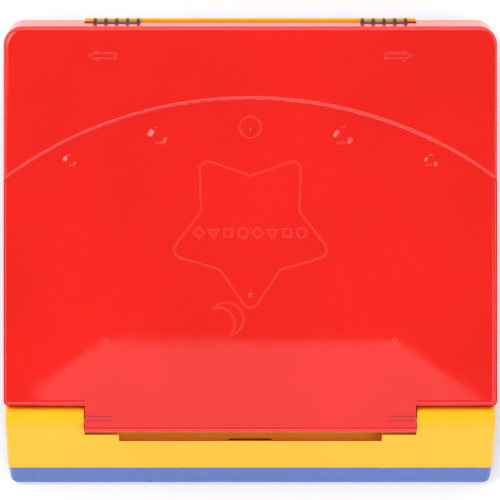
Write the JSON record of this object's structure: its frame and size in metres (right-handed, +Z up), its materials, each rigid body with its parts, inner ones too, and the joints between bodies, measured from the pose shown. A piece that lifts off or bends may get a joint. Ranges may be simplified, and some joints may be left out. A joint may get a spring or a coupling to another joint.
{
  "type": "toy laptop computer",
  "caption": "Closed toy laptop in coloured plastic: hinged red lid with slide latches, yellow keyboard base and blue bottom, with keys, screen and battery bay inside.",
  "frame": {"origin": "on the table under the middle of the closed toy's outline", "axes": "+X to the right as the user sits, +Y from the user's side to the hinge, +Z up from the table"},
  "size_m": [0.251, 0.2394, 0.0522],
  "materials": {
    "red_plastic": "glossy moulded",
    "yellow_plastic": "glossy moulded",
    "blue_plastic": "satin gloss moulded",
    "dark_plastic": "satin moulded",
    "white_key": "glossy moulded",
    "blue_key": "glossy moulded",
    "green_button": "glossy moulded",
    "red_button": "glossy moulded",
    "screw_steel": "zinc plated",
    "pin_steel": "ground",
    "black_rubber": "matte",
    "grey_rubber": "matte silicone",
    "green_board": "solder mask",
    "chip_black": "epoxy",
    "speaker_black": "black paint",
    "cell_jacket": "printed steel can",
    "contact_chrome": "nickel plated",
    "clear_window": "clear polished",
    "display_grey": "grey-green display"
  },
  "bodies": {
    "base": {"battery_cells": "cell_jacket", "battery_contacts": "contact_chrome", "battery_door": "blue_plastic", "battery_door_screw": "screw_steel", "board_components": "chip_black", "board_screws": "screw_steel", "bottom_shell": "blue_plastic", "circuit_board": "green_board", "hinge_pins": "pin_steel", "housing_screws": "screw_steel", "keypad_sheet": "grey_rubber", "rubber_feet": "black_rubber", "speaker": "speaker_black", "upper_housing": "yellow_plastic"},
    "lid": {"lid_cover": "red_plastic", "screen_frame": "yellow_plastic", "screen_window": "clear_window", "display_module": "display_grey", "display_board": "green_board", "lid_screws": "screw_steel", "display_screws": "screw_steel", "lid_bumpers": "black_rubber"},
    "latch_left": {"latch_left": "dark_plastic"},
    "latch_right": {"latch_right": "dark_plastic"},
    "key_a": {"key_a": "white_key"},
    "key_b": {"key_b": "white_key"},
    "key_c": {"key_c": "white_key"},
    "key_d": {"key_d": "white_key"},
    "key_e": {"key_e": "white_key"},
    "key_f": {"key_f": "white_key"},
    "key_g": {"key_g": "white_key"},
    "key_h": {"key_h": "white_key"},
    "key_i": {"key_i": "white_key"},
    "key_j": {"key_j": "white_key"},
    "key_k": {"key_k": "white_key"},
    "key_l": {"key_l": "white_key"},
    "key_m": {"key_m": "white_key"},
    "key_n": {"key_n": "white_key"},
    "key_o": {"key_o": "white_key"},
    "key_p": {"key_p": "white_key"},
    "key_q": {"key_q": "white_key"},
    "key_r": {"key_r": "white_key"},
    "key_s": {"key_s": "white_key"},
    "key_t": {"key_t": "white_key"},
    "key_u": {"key_u": "white_key"},
    "key_v": {"key_v": "white_key"},
    "key_w": {"key_w": "white_key"},
    "key_x": {"key_x": "white_key"},
    "key_y": {"key_y": "white_key"},
    "key_z": {"key_z": "white_key"},
    "space_bar": {"space_bar": "blue_key"},
    "music_button": {"music_button": "green_button"},
    "game_button": {"game_button": "green_button"},
    "count_button": {"count_button": "green_button"},
    "draw_button": {"draw_button": "green_button"},
    "story_button": {"story_button": "green_button"},
    "power_button": {"power_button": "red_button"}
  },
  "joints": [
    {"name": "case_lid_hinge", "type": "hinge", "parent": "base", "child": "lid", "pos_m": [0, 0.0855, 0.0448], "axis": [-1, 0, 0], "range_deg": [0, 110]},
    {"name": "case_latch_left_slide", "type": "slide", "parent": "lid", "child": "latch_left", "axis": [-1, 0, 0], "range_m": [0, 0.0042]},
    {"name": "case_latch_right_slide", "type": "slide", "parent": "lid", "child": "latch_right", "axis": [1, 0, 0], "range_m": [0, 0.0042]},
    {"name": "power_button_press", "type": "slide", "parent": "base", "child": "power_button", "axis": [0, 0, -1], "range_m": [0, 0.0014], "stiffness_N_per_m": 250},
    {"name": "space_bar_press", "type": "slide", "parent": "base", "child": "space_bar", "axis": [0, 0, -1], "range_m": [0, 0.0014], "stiffness_N_per_m": 250},
    {"name": "music_button_press", "type": "slide", "parent": "base", "child": "music_button", "axis": [0, 0, -1], "range_m": [0, 0.0014], "stiffness_N_per_m": 250},
    {"name": "game_button_press", "type": "slide", "parent": "base", "child": "game_button", "axis": [0, 0, -1], "range_m": [0, 0.0014], "stiffness_N_per_m": 250},
    {"name": "count_button_press", "type": "slide", "parent": "base", "child": "count_button", "axis": [0, 0, -1], "range_m": [0, 0.0014], "stiffness_N_per_m": 250},
    {"name": "draw_button_press", "type": "slide", "parent": "base", "child": "draw_button", "axis": [0, 0, -1], "range_m": [0, 0.0014], "stiffness_N_per_m": 250},
    {"name": "story_button_press", "type": "slide", "parent": "base", "child": "story_button", "axis": [0, 0, -1], "range_m": [0, 0.0014], "stiffness_N_per_m": 250},
    {"name": "key_a_press", "type": "slide", "parent": "base", "child": "key_a", "axis": [0, 0, -1], "range_m": [0, 0.0014], "stiffness_N_per_m": 250},
    {"name": "key_b_press", "type": "slide", "parent": "base", "child": "key_b", "axis": [0, 0, -1], "range_m": [0, 0.0014], "stiffness_N_per_m": 250},
    {"name": "key_c_press", "type": "slide", "parent": "base", "child": "key_c", "axis": [0, 0, -1], "range_m": [0, 0.0014], "stiffness_N_per_m": 250},
    {"name": "key_d_press", "type": "slide", "parent": "base", "child": "key_d", "axis": [0, 0, -1], "range_m": [0, 0.0014], "stiffness_N_per_m": 250},
    {"name": "key_e_press", "type": "slide", "parent": "base", "child": "key_e", "axis": [0, 0, -1], "range_m": [0, 0.0014], "stiffness_N_per_m": 250},
    {"name": "key_f_press", "type": "slide", "parent": "base", "child": "key_f", "axis": [0, 0, -1], "range_m": [0, 0.0014], "stiffness_N_per_m": 250},
    {"name": "key_g_press", "type": "slide", "parent": "base", "child": "key_g", "axis": [0, 0, -1], "range_m": [0, 0.0014], "stiffness_N_per_m": 250},
    {"name": "key_h_press", "type": "slide", "parent": "base", "child": "key_h", "axis": [0, 0, -1], "range_m": [0, 0.0014], "stiffness_N_per_m": 250},
    {"name": "key_i_press", "type": "slide", "parent": "base", "child": "key_i", "axis": [0, 0, -1], "range_m": [0, 0.0014], "stiffness_N_per_m": 250},
    {"name": "key_j_press", "type": "slide", "parent": "base", "child": "key_j", "axis": [0, 0, -1], "range_m": [0, 0.0014], "stiffness_N_per_m": 250},
    {"name": "key_k_press", "type": "slide", "parent": "base", "child": "key_k", "axis": [0, 0, -1], "range_m": [0, 0.0014], "stiffness_N_per_m": 250},
    {"name": "key_l_press", "type": "slide", "parent": "base", "child": "key_l", "axis": [0, 0, -1], "range_m": [0, 0.0014], "stiffness_N_per_m": 250},
    {"name": "key_m_press", "type": "slide", "parent": "base", "child": "key_m", "axis": [0, 0, -1], "range_m": [0, 0.0014], "stiffness_N_per_m": 250},
    {"name": "key_n_press", "type": "slide", "parent": "base", "child": "key_n", "axis": [0, 0, -1], "range_m": [0, 0.0014], "stiffness_N_per_m": 250},
    {"name": "key_o_press", "type": "slide", "parent": "base", "child": "key_o", "axis": [0, 0, -1], "range_m": [0, 0.0014], "stiffness_N_per_m": 250},
    {"name": "key_p_press", "type": "slide", "parent": "base", "child": "key_p", "axis": [0, 0, -1], "range_m": [0, 0.0014], "stiffness_N_per_m": 250},
    {"name": "key_q_press", "type": "slide", "parent": "base", "child": "key_q", "axis": [0, 0, -1], "range_m": [0, 0.0014], "stiffness_N_per_m": 250},
    {"name": "key_r_press", "type": "slide", "parent": "base", "child": "key_r", "axis": [0, 0, -1], "range_m": [0, 0.0014], "stiffness_N_per_m": 250},
    {"name": "key_s_press", "type": "slide", "parent": "base", "child": "key_s", "axis": [0, 0, -1], "range_m": [0, 0.0014], "stiffness_N_per_m": 250},
    {"name": "key_t_press", "type": "slide", "parent": "base", "child": "key_t", "axis": [0, 0, -1], "range_m": [0, 0.0014], "stiffness_N_per_m": 250},
    {"name": "key_u_press", "type": "slide", "parent": "base", "child": "key_u", "axis": [0, 0, -1], "range_m": [0, 0.0014], "stiffness_N_per_m": 250},
    {"name": "key_v_press", "type": "slide", "parent": "base", "child": "key_v", "axis": [0, 0, -1], "range_m": [0, 0.0014], "stiffness_N_per_m": 250},
    {"name": "key_w_press", "type": "slide", "parent": "base", "child": "key_w", "axis": [0, 0, -1], "range_m": [0, 0.0014], "stiffness_N_per_m": 250},
    {"name": "key_x_press", "type": "slide", "parent": "base", "child": "key_x", "axis": [0, 0, -1], "range_m": [0, 0.0014], "stiffness_N_per_m": 250},
    {"name": "key_y_press", "type": "slide", "parent": "base", "child": "key_y", "axis": [0, 0, -1], "range_m": [0, 0.0014], "stiffness_N_per_m": 250},
    {"name": "key_z_press", "type": "slide", "parent": "base", "child": "key_z", "axis": [0, 0, -1], "range_m": [0, 0.0014], "stiffness_N_per_m": 250}
  ]
}
